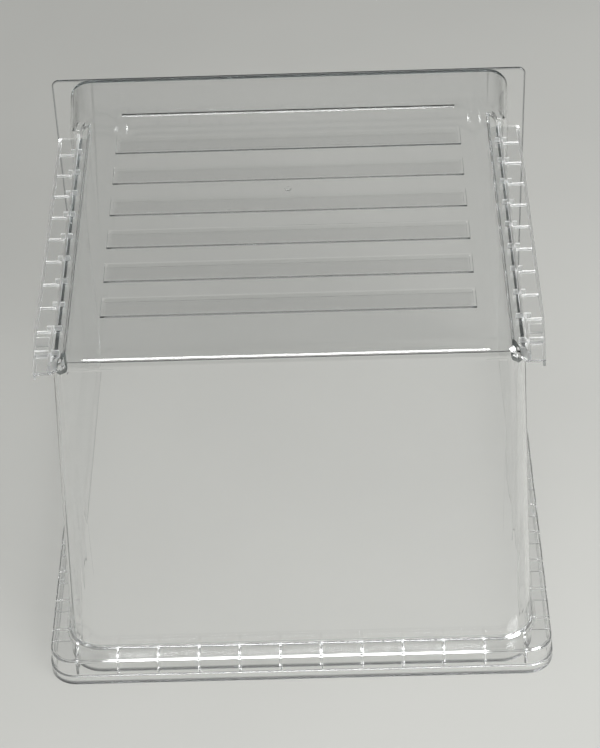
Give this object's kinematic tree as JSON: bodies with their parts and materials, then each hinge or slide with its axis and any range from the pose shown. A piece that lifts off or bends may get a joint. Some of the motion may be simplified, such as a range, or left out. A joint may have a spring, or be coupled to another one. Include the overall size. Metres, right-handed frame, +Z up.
{
  "type": "freezer drawer",
  "caption": "Clear moulded freezer drawer lying rim down: sloping tub with a grooved floor, wider front panel, ribbed runner rails and a divided rim channel.",
  "frame": {"origin": "middle of the overall box in plan, on the plane that the rim rests on", "axes": "+Z up from the rim to the outside of the floor, +Y from the rear wall to the front panel, +X to the right seen from behind; the drawer lies upside down as in the picture"},
  "size_m": [0.395, 0.392, 0.3096],
  "materials": {
    "clear_tub": "polished clear moulding with a faint grey-green cast",
    "clear_panel": "polished clear plate",
    "clear_rail": "polished clear ribs",
    "clear_rim": "polished clear ribs"
  },
  "bodies": {
    "root": {"tub": "clear_tub", "front_panel": "clear_panel", "rail_left": "clear_rail", "rail_right": "clear_rail", "rim_channel": "clear_rim"}
  },
  "joints": []
}
